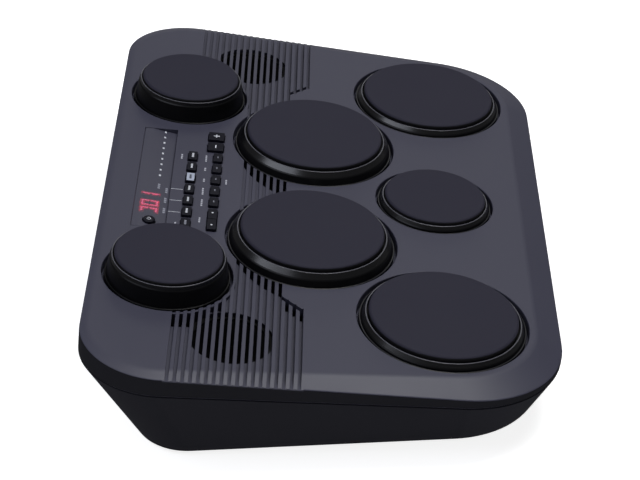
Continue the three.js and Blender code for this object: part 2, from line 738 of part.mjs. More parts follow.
place(object, 'main_board', 'board', mainBoard());
place(object, 'battery_door', 'tray', batteryDoor());
for (const socket of JACKS) {
  place(object, socket.name, 'socket', jack(socket));
}
for (const [name, x, y] of FEET) {
  place(object, `foot_${name}`, 'foot', bar(x, y, FOOT.radius, 0, FOOT.height - GAP, 20));
}

export default object;
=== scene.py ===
"""The looks of a seven-pad table-top electronic drum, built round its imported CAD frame.

Lengths are in millimetres and become metres when a mesh is made. Pieces of the top casing are
drawn in the deck frame, with z = 0 on the deck face and y = 0 on the row of middle pads, and the
DECK matrix tilts them into the row's frame. Pieces of the tray are drawn in the row's frame.
"""

import math

import bpy
from mathutils import Matrix, Quaternion, Vector


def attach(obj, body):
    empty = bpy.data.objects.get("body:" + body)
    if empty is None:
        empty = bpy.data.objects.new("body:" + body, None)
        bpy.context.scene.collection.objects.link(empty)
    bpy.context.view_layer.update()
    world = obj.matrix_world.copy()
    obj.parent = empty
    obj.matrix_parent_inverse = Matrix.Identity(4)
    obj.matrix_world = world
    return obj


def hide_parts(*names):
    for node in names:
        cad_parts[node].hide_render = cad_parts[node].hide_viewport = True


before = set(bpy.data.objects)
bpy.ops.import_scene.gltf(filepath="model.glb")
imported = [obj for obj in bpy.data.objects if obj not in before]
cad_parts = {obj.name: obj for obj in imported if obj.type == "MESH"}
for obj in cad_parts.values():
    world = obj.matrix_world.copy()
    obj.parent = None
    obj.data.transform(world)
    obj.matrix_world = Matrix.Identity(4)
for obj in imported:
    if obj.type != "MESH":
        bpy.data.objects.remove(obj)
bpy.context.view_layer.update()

# ---------------------------------------------------------------- dimensions, in millimetres

MM = 0.001
TILT = math.radians(5.88)
DECK_Y = 9.42
DECK_Z = 72.3
ROW = Matrix.Scale(MM, 4)
DECK = Matrix.Translation((0, DECK_Y * MM, DECK_Z * MM)) @ Matrix.Rotation(TILT, 4, "X") @ ROW

GAP = 0.3
WALL = 2.5
FAR = 60  # how far a cutter reaches beyond what it cuts
SHADED_BAND_GAP = 0.45  # from the bevel's foot down to the start of the side band that is painted darker as shade
SEAM = 0.5  # the chamfer along each casing's edge where the two meet
BURIED = -WALL / 2  # where plates joined to the deck's underside begin, inside its wall

# Outlines are trapezoids with round corners: (half width at y = 0, flare, front, rear, radii).
EDGE = (238.5, 0.0643, -172.6, 151.1, 74.2, 53.5)
DECK_FACE = (226.5, 0.105, -154.2, 146.8, 63, 50)
TRAY_FOOT = (213.8, 0.084, -146.5, 126, 63.4, 36)
CORNER_STEPS = 20
BEVEL_FOOT = (-4.55, 0.0223)  # height at y = 0 and slope along y
PARTING = (-14.7, -0.0116)

# Pads: rubber radius and top, the ring's lip, shoulder and foot, the height of the foot's flange,
# and the opening in the deck.
MID = dict(
    radius=50, top=10.7, lip=(53.2, 7.4), shoulder=(56.6, 3.9), foot=59.4, flange=-1.6, opening=61.3,
)
FRONT = dict(
    radius=50, top=6.6, lip=(53.2, 3.2), shoulder=(55.6, 0.6), foot=57.2, flange=-1.6, opening=58.9,
)
CENTRE = dict(
    radius=36, top=6.0, lip=(38.7, 2.9), shoulder=(40.6, 0.6), foot=41.9, flange=-1.6, opening=43.4,
)
REAR = dict(
    radius=36, top=17.5, lip=(38.8, 14.9), shoulder=(39.8, 12.4), foot=43.2, flange=-0.6, opening=45,
)
PADS = {
    "rear_left": (-125.35, 98, REAR),
    "rear_right": (125.35, 98, REAR),
    "mid_left": (-67.6, 0, MID),
    "mid_right": (67.6, 0, MID),
    "front_left": (-153.35, -90.35, FRONT),
    "front_right": (153.35, -90.35, FRONT),
    "front_centre": (0, -90.15, CENTRE),
}
PAD_SEGMENTS = 160
RUBBER = dict(thickness=6, overhang=1.3, edge=2.3, crown=0.12)
RIM = dict(width=0.8, edge=0.4)  # the rim at a ring's lip; its top is painted a lighter grey as a highlight
RING_SEAT = dict(width=4, gap=2.1, thickness=2)  # the ledge inside a ring, under the steel plate
# The ring's materials: gloss, the lip's light grey and the flange's grey, both painted highlights, and
# the less glossy skirt.
RING_FINISHES_AND_HIGHLIGHTS = ("ring", "rim", "flange", "skirt")
WELL = dict(floor=-8, ledge=12, wall=2, edge=0.7)

# Rib fields. Grooves are counted from the rear; the grille and the arcs are (x, y, radius).
GROOVES = 18
PITCH = 5
GROOVE_WIDTH = 2.4
GROOVE_UNDERCUT = 0.35  # how far a groove's floor lies below the bevel's foot
RIB_EDGE = 0.2
FIRST_Y = 90.5
FIELD_PLATE = dict(inner=95, front=2.5, rear=93, bottom=-6.4)
GRILLE = (189.4, 51.6, 28.9)
GRILLE_GROOVES = range(3, 14)
GRILLE_BARS = (100, 240)  # from and to, before the arc trims them
NOTCH_ARC = (75.7, -13.3, 69)  # where the notches end outside the middle pads
NOTCH_GROOVES = range(8, 15)
NOTCH_BARS = (60, 170)
MIDDLE_ARC = (50.7, -13.3, 69)  # where the notches end between the middle pads
MIDDLE_BARS = (-20, 67.6)
MIDDLE_FLOOR = -1.8
REAR_SLOT = dict(end=184, taper=0.12)
DIAGONAL = dict(x=141.1, y=19.2, run=13.9, drop=14.6, rib_gap=4.2, floor_gap=8)

# Control panel.
KEY_PITCH = 15.6
KEY = dict(width=11.6, depth=6.8, proud=2.0, corner=0.9, edge=0.4, bottom=-3.4)
KEY_FLANGE = dict(reach=1.1, bottom=-4.1, top=-3.2)  # under the deck, it keeps a cap in
KEY_CLEARANCE = 0.4
KEY_HOLE = dict(extra_corner=0.4, bottom=-6, edge=0.3)
REAR_KEYS = (89.85, (-4, -3, -2, -1, 0, 1, 2))
FRONT_KEYS = (71.3, (-2, -1, 0, 1, 2))
WIDE_KEYS = (73.7, 12, (3, 4))
ROCKER = (-3.5 * KEY_PITCH, 71.3, 27.2)
ROCKER_BOTTOM = -4
ROCKER_LINE = dict(half=0.3, depth=0.35)  # the line across its middle
WINDOW = dict(half=69.5, front=103.3, rear=128.2, flush=122, drop=3.4)
WINDOW_SLOPE = WINDOW["drop"] / (WINDOW["flush"] - WINDOW["front"])
WINDOW_LEDGE = 3
WINDOW_FRAME = dict(half=73, margin=3.5, bottom=-9)
PANE = dict(clearance=0.45, thickness=0.8, below=0.1)  # below: its face under the deck's
POWER = (-59.5, 115.8, 4.5, 0.6)  # x, y, radius, top
POWER_STEM = dict(radius=2, bottom=-9.6, flange=1, flange_bottom=-7, flange_top=-5.8)
FILM = 0.03  # the thickness of printing
LABEL = (1.8, 1.7)
SCALE = dict(x=4.3, y=112.4, pitch=7.9, mark=(2.2, 1.4), count=9)
DIGIT = dict(width=6.8, height=11.8, stroke=1.15, gap=0.45, slant=0.13, y=117.05, z=-3.3)
DIGIT_BAR = dict(thickness=0.1, end_gap=0.1, unlit_lift=0.05, halo_step=0.12)
DIGIT_XS = (-41.9, -32.1, -22.3)
DIGIT_MODULE = dict(width=34, depth=16, bottom=-11.3)
HALO = {"inner_glow": 0.5, "outer_glow": 1.2}  # how far each glow reaches beyond a lit bar
SEGMENTS = {
    "a": ((-1, 1), (1, 1)), "b": ((1, 1), (1, 0)), "c": ((1, 0), (1, -1)), "d": ((-1, -1), (1, -1)),
    "e": ((-1, -1), (-1, 0)), "f": ((-1, 0), (-1, 1)), "g": ((-1, 0), (1, 0)),
}
LIT = ({*"abcd"}, {*"abcdef"}, {*"bc"})
BOARD = dict(y=94, width=150, depth=62, bottom=-13.2, top=-11.6)
SWITCH = dict(size=6, top=-8.7)

# Tray.
FOOT = (9, 3)  # radius, height
FEET = {
    "front_left": (-160, -112),
    "front_right": (160, -112),
    "rear_left": (-185, 92),
    "rear_right": (185, 92),
}
BAY = dict(half=84, y=139, bottom=26, top=57, rear=146, corner=3)
JACK_Z = 42
JACK = dict(proud=1.5, body=16, bore_end=14, sleeve=10, nut=2)
JACKS = {  # x, radius and bore
    "dc_inlet": (-66, 5.2, 2.8),
    "headphone_socket": (-34, 6, 3.3),
    "aux_socket": (-4, 4.2, 1.8),
    "kick_pedal_socket": (26, 6, 3.3),
    "hihat_pedal_socket": (56, 6, 3.3),
}
BATTERY = dict(half=54, front=-38, rear=22, roof=24, margin=3, door=2)
GRIP = dict(half=14, first=7, pitch=2.4, depth=0.7, count=5)
LATCH = dict(half=12, top=7)
BOSS = dict(radius=5.5, bore=3.4, height=22, bore_height=16)
SCREW_RISE = 10  # how far a screw's head is above the tray's floor
SCREWS = ((-150, 100), (150, 100), (-190, -20), (190, -20), (-120, -118), (120, -118))

# The camera, in the row's frame.
CAMERA_AT = (-1317.5, -6.8, 876.1)
CAMERA_AIM = (0.84108, 0.00682, -0.54087)
CAMERA_LENS = 118.18


# ---------------------------------------------------------------- materials

def linear(red, green, blue):
    def channel(value):
        value /= 255
        return value / 12.92 if value <= 0.04045 else ((value + 0.055) / 1.055) ** 2.4
    return (channel(red), channel(green), channel(blue), 1)


def new_material(name):
    material = bpy.data.materials.new(name)
    material.use_nodes = True
    return material, material.node_tree.nodes, material.node_tree.links


def set_inputs(node, values):
    for name, value in values.items():
        node.inputs[name].default_value = value


def noise(nodes, links, scale, detail=2):
    """Noise that is fixed to the object."""
    place = nodes.new("ShaderNodeTexCoord")
    texture = nodes.new("ShaderNodeTexNoise")
    set_inputs(texture, {"Scale": scale, "Detail": detail})
    links.new(place.outputs["Object"], texture.inputs["Vector"])
    return texture.outputs["Fac"]


def vary_gloss(nodes, links, pattern, roughness, spread):
    gloss = nodes.new("ShaderNodeMapRange")
    set_inputs(gloss, {"To Min": roughness * (1 - spread), "To Max": roughness * (1 + spread)})
    links.new(pattern, gloss.inputs["Value"])
    links.new(gloss.outputs["Result"], nodes["Principled BSDF"].inputs["Roughness"])


def moulded(name, colour, roughness, grain=0.6, bump=0.04, mottle=0.08, specular=0.5):
    """Moulded plastic or rubber: fine grain in the surface, soft variation in colour and gloss."""
    material, nodes, links = new_material(name)
    shader = nodes["Principled BSDF"]
    set_inputs(shader, {"Specular IOR Level": specular})

    cloud = noise(nodes, links, 22, 5)
    tint = nodes.new("ShaderNodeMix")
    tint.data_type = "RGBA"
    base = Vector(linear(*colour)[:3])
    set_inputs(tint, {"A": (*(base * (1 - mottle)), 1), "B": (*(base * (1 + mottle)), 1)})
    links.new(cloud, tint.inputs["Factor"])
    links.new(tint.outputs["Result"], shader.inputs["Base Color"])
    vary_gloss(nodes, links, cloud, roughness, 0.08)

    relief = nodes.new("ShaderNodeBump")
    set_inputs(relief, {"Strength": 0.5, "Distance": bump * MM})
    links.new(noise(nodes, links, 1 / (grain * MM), 3), relief.inputs["Height"])
    links.new(relief.outputs["Normal"], shader.inputs["Normal"])
    return material


def metal(name, colour, roughness):
    material, nodes, links = new_material(name)
    set_inputs(nodes["Principled BSDF"], {"Metallic": 1, "Base Color": linear(*colour)})
    vary_gloss(nodes, links, noise(nodes, links, 900), roughness, 0.3)
    return material


def smoked_pane(name):
    """A thin tinted pane: what lies under it shows through, and its face has a soft sheen."""
    material, nodes, links = new_material(name)
    shader = nodes["Principled BSDF"]
    set_inputs(shader, {"Base Color": linear(82, 82, 98), "Roughness": 0.4})
    clear = nodes.new("ShaderNodeBsdfTransparent")
    clear.inputs["Color"].default_value = (0.55, 0.55, 0.58, 1)
    blend = nodes.new("ShaderNodeMixShader")
    blend.inputs["Fac"].default_value = 0.62
    links.new(clear.outputs["BSDF"], blend.inputs[1])
    links.new(shader.outputs["BSDF"], blend.inputs[2])
    links.new(blend.outputs["Shader"], nodes["Material Output"].inputs["Surface"])
    return material


def glowing(name, colour, strength):
    material, nodes, _ = new_material(name)
    set_inputs(nodes["Principled BSDF"], {
        "Base Color": linear(*colour),
        "Emission Color": linear(*colour),
        "Emission Strength": strength,
    })
    return material


MATERIAL = {
    "deck": moulded("deck_plastic", (57, 57, 73), 0.5, grain=0.5, bump=0.03, mottle=0.04),
    "tray": moulded("tray_plastic", (24, 24, 30), 0.6, grain=0.7, bump=0.05, specular=0.12),
    "rubber": moulded("pad_rubber", (37, 36, 50), 0.7, grain=0.45, bump=0.03, mottle=0.05, specular=0.25),
    # painted shade: a near-black rubber for the pad faces that turn away from above
    "pad_side_shade": moulded("pad_side_shade", (14, 14, 17), 0.6, bump=0.02, specular=0.25),
    "ring": moulded("ring_gloss", (8, 8, 11), 0.25, grain=2, bump=0.003, specular=0.65),
    # painted highlight: a light grey on top of the ring's lip stands for its thin bright line
    "rim": moulded("ring_rim_painted_highlight", (80, 80, 87), 0.3, grain=2, bump=0.003),
    # painted highlight: a mid grey on the foot flange stands for the thin light line there
    "flange": moulded("ring_flange_painted_highlight", (22, 22, 26), 0.35, grain=2, bump=0.003),
    "skirt": moulded("ring_skirt", (7, 7, 9), 0.35, grain=2, bump=0.003, specular=0.2),
    "key": moulded("key_plastic", (18, 18, 28), 0.45, grain=0.35, bump=0.012, specular=0.12),
    "light_key": moulded("light_key_plastic", (165, 172, 190), 0.45, grain=0.35, bump=0.01),
    "window": smoked_pane("smoked_pane"),
    "display": moulded("display_case", (10, 10, 12), 0.5),
    "lit": glowing("segment_lit", (255, 100, 137), 12),
    "inner_glow": glowing("inner_glow", (225, 10, 60), 6),
    "outer_glow": glowing("outer_glow", (200, 0, 35), 6),
    "unlit": glowing("segment_unlit", (34, 12, 18), 0.02),
    "print": moulded("print_white", (205, 208, 216), 0.6, bump=0.0),
    "label_print": moulded("print_label", (176, 178, 188), 0.6, bump=0.0),
    "faint_print": moulded("print_grey", (140, 142, 154), 0.6, bump=0.0),
    "cone": moulded("cone_paper", (9, 9, 10), 0.95, grain=1.2, bump=0.08, specular=0.05),
    "speaker": moulded("speaker_basket", (10, 10, 11), 0.6, specular=0.15),
    "steel": metal("plated_steel", (170, 172, 176), 0.3),
    "board": moulded("solder_mask", (20, 66, 40), 0.45),
    "socket": moulded("socket_black", (16, 16, 17), 0.45),
    "foot": moulded("foot_rubber", (22, 22, 23), 0.85, grain=0.8, bump=0.08),
}


# ---------------------------------------------------------------- meshes

def mesh_object(name, verts, faces, matrix):
    """A closed mesh, placed by the matrix and facing out."""
    mesh = bpy.data.meshes.new(name)
    mesh.from_pydata([matrix @ Vector(v) for v in verts], [], faces)
    mesh.validate()
    thing = bpy.data.objects.new(name, mesh)
    bpy.context.scene.collection.objects.link(thing)
    return thing


def finish_piece(thing, material, body, replaces=(), sharp=32):
    mesh = thing.data
    mesh.materials.clear()
    mesh.materials.append(MATERIAL[material])
    mesh.shade_smooth()
    mesh.set_sharp_from_angle(angle=math.radians(sharp))
    weigh = thing.modifiers.new("even_shading", "WEIGHTED_NORMAL")
    weigh.keep_sharp = True
    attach(thing, body)
    if replaces:
        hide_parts(*replaces)
    return thing


def piece(name, shape, material, body="housing", matrix=DECK, replaces=(), sharp=32):
    return finish_piece(mesh_object(name, *shape, matrix), material, body, replaces, sharp)


def rounded(corners, steps=4, closed=True):
    """A polyline from (u, v, radius) corners, with each corner turned into an arc."""
    path = []
    count = len(corners)
    for i, (u, v, radius) in enumerate(corners):
        here = Vector((u, v))
        ends = i in (0, count - 1) and not closed
        if radius <= 0 or ends:
            path.append(tuple(here))
            continue
        before = (Vector(corners[i - 1][:2]) - here).normalized()
        after = (Vector(corners[(i + 1) % count][:2]) - here).normalized()
        half = math.acos(max(-1, min(1, before.dot(after)))) / 2
        reach = radius / math.tan(half)
        middle = here + (before + after).normalized() * (radius / math.sin(half))
        start = here + before * reach - middle
        sweep = math.pi - 2 * half
        if before.cross(after) > 0:
            sweep = -sweep
        for step in range(steps + 1):
            turn = Matrix.Rotation(sweep * step / steps, 2)
            path.append(tuple(middle + turn @ start))
    return path


def lathe(x, y, profile, segments=96):
    """A solid of revolution about the vertical through (x, y); the profile goes up the outside."""
    verts, faces, rings = [], [], []
    for radius, z in profile:
        if radius < 1e-6:
            rings.append([len(verts)] * segments)
            verts.append((x, y, z))
            continue
        rings.append(list(range(len(verts), len(verts) + segments)))
        for i in range(segments):
            angle = 2 * math.pi * i / segments
            verts.append((x + radius * math.cos(angle), y + radius * math.sin(angle), z))
    closed = profile[0][0] > 1e-6
    pairs = list(zip(rings, rings[1:] + rings[:1])) if closed else list(zip(rings, rings[1:]))
    for lower, upper in pairs:
        for i in range(segments):
            j = (i + 1) % segments
            corners = [lower[i], lower[j], upper[j], upper[i]]
            corners = [c for k, c in enumerate(corners) if c != corners[k - 1]]
            if len(corners) > 2:
                faces.append(corners)
    return verts, faces


def loft(rings):
    """A closed skin over rings of equal length, from the bottom up, counter-clockwise from above."""
    count = len(rings[0])
    verts = [p for ring in rings for p in ring]
    faces = []
    for layer in range(len(rings) - 1):
        for i in range(count):
            a = layer * count + i
            b = layer * count + (i + 1) % count
            faces.append((a, b, b + count, a + count))
    top = (len(rings) - 1) * count
    faces.append(tuple(reversed(range(count))))
    faces.append(tuple(range(top, top + count)))
    return verts, faces


def prism(path, z0, z1):
    return loft([[(u, v, z) for u, v in path] for z in (z0, z1)])


def box(x0, x1, y0, y1, z0, z1):
    return prism([(x0, y0), (x1, y0), (x1, y1), (x0, y1)], z0, z1)


def side_box(side, x0, x1, y0, y1, z0, z1):
    """A box whose x is measured outwards from the middle plane, on either side."""
    return box(min(side * x0, side * x1), max(side * x0, side * x1), y0, y1, z0, z1)


def merged(shapes):
    """Several shapes as one, without joining them where they overlap."""
    verts, faces = [], []
    for more_verts, more_faces in shapes:
        offset = len(verts)
        verts += more_verts
        faces += [tuple(offset + i for i in face) for face in more_faces]
    return verts, faces


def along_x(section, x0, x1):
    """A bar along x whose (y, z) section is counter-clockwise seen from +x."""
    return loft([[(x, y, z) for y, z in section] for x in (x0, x1)])


def quarter_arc(edge, top, steps=4):
    """Points that round over an edge: how far in from the side, and the height up to top."""
    angles = [math.pi / 2 * step / steps for step in range(steps + 1)]
    return [(edge * (1 - math.cos(angle)), top - edge + edge * math.sin(angle)) for angle in angles]


def round_rectangle(x, y, half_width, half_depth, corner, z):
    sides = ((-1, -1), (1, -1), (1, 1), (-1, 1))
    corners = [(x + i * half_width, y + j * half_depth, corner) for i, j in sides]
    return [(u, v, z) for u, v in rounded(corners)]


def slab(x, y, width, depth, corner, z0, z1, edge=0.0):
    """An upright block with round corners and, if edge is given, a rounded top edge."""
    levels = [(0, z0)]
    levels += quarter_arc(edge, z1) if edge else [(0, z1)]
    return loft([
        round_rectangle(x, y, width / 2 - inset, depth / 2 - inset, max(corner - inset, 0.05), z)
        for inset, z in levels
    ])


def flared_hole(x, y, width, depth, corner, z0, edge):
    """A cutter for a hole with round corners whose rim is rounded over at z = 0."""
    levels = [(0, z0), *quarter_arc(edge, 0), (edge, FAR)]
    return loft([
        round_rectangle(x, y, width / 2 + out, depth / 2 + out, corner + out, z) for out, z in levels
    ])


def solve(thing, steps):
    """Applies booleans in order; steps are (operation, shape, matrix)."""
    tools = []
    for operation, shape, matrix in steps:
        tool = mesh_object("tool", *shape, matrix) if isinstance(shape, tuple) else shape
        tools.append(tool)
        boolean = thing.modifiers.new("step", "BOOLEAN")
        boolean.operation = operation
        boolean.solver = "MANIFOLD"
        boolean.object = tool
    bpy.context.view_layer.update()
    solved = bpy.data.meshes.new_from_object(thing.evaluated_get(bpy.context.evaluated_depsgraph_get()))
    thing.modifiers.clear()
    thing.data = solved
    for tool in tools:
        bpy.data.objects.remove(tool)
    return thing


# ---------------------------------------------------------------- outlines of the casings

def outline(shape, inset=0.0):
    half, flare, front, rear, front_radius, rear_radius = shape
    front += inset
    rear -= inset
    corners = [
        (-(half + flare * front - inset), front, front_radius - inset),
        (half + flare * front - inset, front, front_radius - inset),
        (half + flare * rear - inset, rear, rear_radius - inset),
        (-(half + flare * rear - inset), rear, rear_radius - inset),
    ]
    return rounded(corners, CORNER_STEPS)


def ring(shape, plane, inset=0.0, lift=0.0):
    """An outline laid on a plane given by its height at y = 0 and its slope along y."""
    height, slope = plane
    return [(x, y, height + slope * y + lift) for x, y in outline(shape, inset)]


def level(height):
    return (height, 0.0)


def eased(before, corner, after, reach, steps=5):
    """Rings that round the corner ring between its neighbours, starting reach mm from it."""
    rings = []
    for step in range(steps + 1):
        t = step / steps
        points = []
        for a, b, c in zip(before, corner, after):
            a, b, c = Vector(a), Vector(b), Vector(c)
            start = b + (a - b).normalized() * reach
            end = b + (c - b).normalized() * reach
            points.append(tuple(start * (1 - t) ** 2 + b * 2 * t * (1 - t) + end * t ** 2))
        rings.append(points)
    return rings


# ---------------------------------------------------------------- top casing

def groove_y(index):
    """The middle line of a groove."""
    return FIRST_Y - PITCH * index


def diagonal_x(y):
    """Where the ribs end beside a front pad, on a slanted line."""
    return DIAGONAL["x"] + DIAGONAL["run"] * (DIAGONAL["y"] - y) / DIAGONAL["drop"]


def groove_start(y):
    """Where a groove begins: at the diagonal, or inside the pad it runs out of."""
    if y < DIAGONAL["y"]:
        return diagonal_x(y)
    x, pad_y, kind = PADS["rear_right"]
    return x if y > pad_y - kind["opening"] else PADS["mid_right"][0]


def groove_tool(y, floor, x0, x1):
    """The channel between two ribs, with the ribs' top edges rounded."""
    half = GROOVE_WIDTH / 2
    section = [(half, floor)]
    section += [(half + out, z) for out, z in quarter_arc(RIB_EDGE, 0)]
    section.append((half + RIB_EDGE, FAR))
    section += [(-v, z) for v, z in reversed(section)]
    section = [(y + v, z) for v, z in section]
    return along_x(section, x0, x1)


def side_groove(side, index):
    """A groove from its start out through the casing's edge."""
    y = groove_y(index)
    floor = BEVEL_FOOT[0] + BEVEL_FOOT[1] * y - GROOVE_UNDERCUT
    x0, x1 = sorted((side * groove_start(y), side * 2 * EDGE[0]))
    return groove_tool(y, floor, x0, x1)


def middle_groove(index):
    """The shallower channel from one middle pad to the other."""
    x = PADS["mid_right"][0]
    return groove_tool(groove_y(index), MIDDLE_FLOOR, -x, x)


def through_bar(side, index, x0, x1):
    """A cutter that opens a stretch of a groove right through."""
    y = groove_y(index)
    return side_box(side, x0, x1, y - GROOVE_WIDTH / 2, y + GROOVE_WIDTH / 2, -FAR, FAR)


def disc(x, y, radius, z0, z1, segments=96):
    return lathe(x, y, [(0, z0), (radius, z0), (radius, z1), (0, z1)], segments)


def clipped(bars, x, y, radius):
    """Bars cut to the inside of an upright cylinder."""
    thing = mesh_object("slots", *merged(bars), DECK)
    return solve(thing, [("INTERSECT", disc(x, y, radius, -FAR + 5, FAR - 5), DECK)])


def open_bars(side):
    """The straight stretches where a groove is open right through."""
    rear_x = PADS["rear_right"][0]
    slot_ends = [(i, REAR_SLOT["end"] - REAR_SLOT["taper"] * PITCH * i) for i in (0, 1, 2)]
    bars = [through_bar(side, i, rear_x, end) for i, end in slot_ends]
    bars += [through_bar(side, i, rear_x, GRILLE[0]) for i in (3, 4)]
    for i in (5, 6):
        chord = math.sqrt(GRILLE[2] ** 2 - (groove_y(i) - GRILLE[1]) ** 2)
        bars.append(through_bar(side, i, rear_x, GRILLE[0] - chord - 1))
    for i in (15, 16, 17):
        start = diagonal_x(groove_y(i))
        bars.append(through_bar(side, i, start, start + DIAGONAL["floor_gap"]))
    return bars


def diagonal_slot(side):
    """The slanted slot where the ribs stop short of the deck."""
    rear, front = DIAGONAL["y"], DIAGONAL["y"] - DIAGONAL["drop"]
    gap = DIAGONAL["rib_gap"]
    corners = [
        (diagonal_x(front), front), (diagonal_x(front) + gap, front),
        (diagonal_x(rear) + gap, rear), (diagonal_x(rear), rear),
    ]
    path = [(side * x, y) for x, y in corners]
    return prism(path if side > 0 else path[::-1], -FAR, FAR)


def well_tool(x, y, kind):
    """The opening round a pad: a rounded rim at the deck and a floor with a large hole."""
    radius = kind["opening"]
    edge, floor = WELL["edge"], WELL["floor"]
    hole = radius - WELL["ledge"]
    profile = [(0, -FAR), (hole, -FAR), (hole, floor), (radius, floor)]
    profile += [(radius + out, z) for out, z in quarter_arc(edge, 0)]
    profile += [(radius + edge, FAR), (0, FAR)]
    return lathe(x, y, profile, 128)


def well_block(x, y, kind):
    """The plastic that a pad's well is cut from, under the deck."""
    wall = WELL["wall"]
    return disc(x, y, kind["opening"] + wall, WELL["floor"] - wall, BURIED, 128)


def pane_height(y, below=0.0):
    """The pane is flush along its rear and slopes down towards the player."""
    return -max(0, WINDOW["flush"] - y) * WINDOW_SLOPE - PANE["below"] - below


def window_pocket():
    """The recess over and behind the pane."""
    half, front, rear = WINDOW["half"], WINDOW["front"], WINDOW["rear"]
    flush = WINDOW["flush"]
    under = [(y, pane_height(y, 2)) for y in (front, flush, rear)]
    return along_x(under + [(rear, FAR), (front, FAR)], -half, half)


def key_places():
    """The middle, width and depth of every key on the deck but the power key."""
    width, depth = KEY["width"], KEY["depth"]
    for slot in REAR_KEYS[1]:
        yield slot * KEY_PITCH, REAR_KEYS[0], width, depth
    for slot in FRONT_KEYS[1]:
        yield slot * KEY_PITCH, FRONT_KEYS[0], width, depth
    for slot in WIDE_KEYS[2]:
        yield slot * KEY_PITCH, WIDE_KEYS[0], width, WIDE_KEYS[1]
    yield ROCKER[0], ROCKER[1], ROCKER[2], depth


def key_holes():
    gap = 2 * KEY_CLEARANCE
    corner = KEY["corner"] + KEY_HOLE["extra_corner"]
    return [
        flared_hole(x, y, width + gap, depth + gap, corner, KEY_HOLE["bottom"], KEY_HOLE["edge"])
        for x, y, width, depth in key_places()
    ]


def distance_to(path, point):
    """How far a point in the plane is from a closed polyline."""
    nearest = FAR
    for a, b in zip(path, path[1:] + path[:1]):
        along = b - a
        share = max(0, min(1, (point - a).dot(along) / along.length_squared))
        nearest = min(nearest, (point - a - along * share).length)
    return nearest


def paint_side_band_shade(thing):
    """The upright band under the bevel takes the tray's darker plastic as painted shade, where the wall
    leans away from the light.
    """
    thing.data.materials.append(MATERIAL["tray"])
    into_deck = DECK.inverted()
    edge = [Vector(point) for point in outline(EDGE)]
    for face in thing.data.polygons:
        x, y, z = into_deck @ face.center
        foot = BEVEL_FOOT[0] + BEVEL_FOOT[1] * y
        upright = z < foot - SHADED_BAND_GAP and abs(face.normal.z) < 0.5
        if upright and distance_to(edge, Vector((x, y))) < 1:
            # Painted shade: downward-leaning faces near the edge get the darker plastic.
            face.material_index = 1


def field_plate(side):
    """The plate under one side's ribs, trimmed to the casing's outside."""
    inner, front, rear, bottom = (FIELD_PLATE[key] for key in ("inner", "front", "rear", "bottom"))
    shape = side_box(side, inner, 2 * EDGE[0], front, rear, bottom, BURIED)
    outside = loft([ring(EDGE, PARTING), ring(EDGE, BEVEL_FOOT), ring(DECK_FACE, level(0))])
    return solve(mesh_object("field", *shape, DECK), [("INTERSECT", outside, DECK)])


def rib_field(side):
    """The steps that add one side's plate and cut its grooves and openings."""
    grooves = merged([side_groove(side, i) for i in range(GROOVES)])
    grille_bars = [through_bar(side, i, *GRILLE_BARS) for i in GRILLE_GROOVES]
    notch_bars = [through_bar(side, i, *NOTCH_BARS) for i in NOTCH_GROOVES]
    return [
        ("UNION", field_plate(side), None),
        ("DIFFERENCE", grooves, DECK),
        ("DIFFERENCE", clipped(grille_bars, side * GRILLE[0], *GRILLE[1:]), None),
        ("DIFFERENCE", clipped(notch_bars, side * NOTCH_ARC[0], *NOTCH_ARC[1:]), None),
        ("DIFFERENCE", merged(open_bars(side)), DECK),
        ("DIFFERENCE", diagonal_slot(side), DECK),
    ]


def middle_field():
    """The grooves between the middle pads, open beside the right-hand one."""
    notch_bars = [through_bar(1, i, *MIDDLE_BARS) for i in NOTCH_GROOVES]
    return [
        ("DIFFERENCE", merged([middle_groove(i) for i in NOTCH_GROOVES]), DECK),
        ("DIFFERENCE", clipped(notch_bars, *MIDDLE_ARC), None),
    ]


def well_blocks(rear):
    return merged([well_block(*pad) for name, pad in PADS.items() if name.startswith("rear") == rear])


def window_hole():
    """The opening under the pane, which leaves a ledge for it."""
    half, front, rear = WINDOW["half"], WINDOW["front"], WINDOW["rear"]
    ledge = WINDOW_LEDGE
    return box(-half + ledge, half - ledge, front + ledge, rear - ledge, -FAR, -1)


def top_shell():
    parting = ring(EDGE, PARTING)
    bevel_foot = ring(EDGE, BEVEL_FOOT)
    deck_edge = ring(DECK_FACE, level(0))
    deck_face = ring(DECK_FACE, level(0), 6)
    rings = [ring(EDGE, PARTING, SEAM, 0), ring(EDGE, PARTING, 0, SEAM)]
    rings += eased(parting, bevel_foot, deck_edge, 1.0)
    rings += eased(bevel_foot, deck_edge, deck_face, 2.2)
    thing = mesh_object("top_casing", *loft(rings), DECK)
    inside = loft([
        ring(EDGE, PARTING, WALL, -FAR / 4),
        ring(EDGE, BEVEL_FOOT, WALL, -WALL),
        ring(DECK_FACE, level(-WALL), WALL),
    ])
    frame = WINDOW_FRAME
    front, rear = WINDOW["front"] - frame["margin"], WINDOW["rear"] + frame["margin"]
    frame_block = box(-frame["half"], frame["half"], front, rear, frame["bottom"], BURIED)
    steps = [
        ("DIFFERENCE", inside, DECK),
        ("UNION", frame_block, DECK),
        ("UNION", well_blocks(rear=False), DECK),
        *rib_field(-1),
        *rib_field(1),
        *middle_field(),
        ("UNION", well_blocks(rear=True), DECK),
        ("DIFFERENCE", merged([well_tool(*pad) for pad in PADS.values()]), DECK),
        ("DIFFERENCE", window_pocket(), DECK),
        ("DIFFERENCE", window_hole(), DECK),
        ("DIFFERENCE", merged(key_holes()), DECK),
    ]
    solve(thing, steps)
    finish_piece(thing, "deck", "housing", replaces=["top_shell"])
    paint_side_band_shade(thing)


# ---------------------------------------------------------------- pads

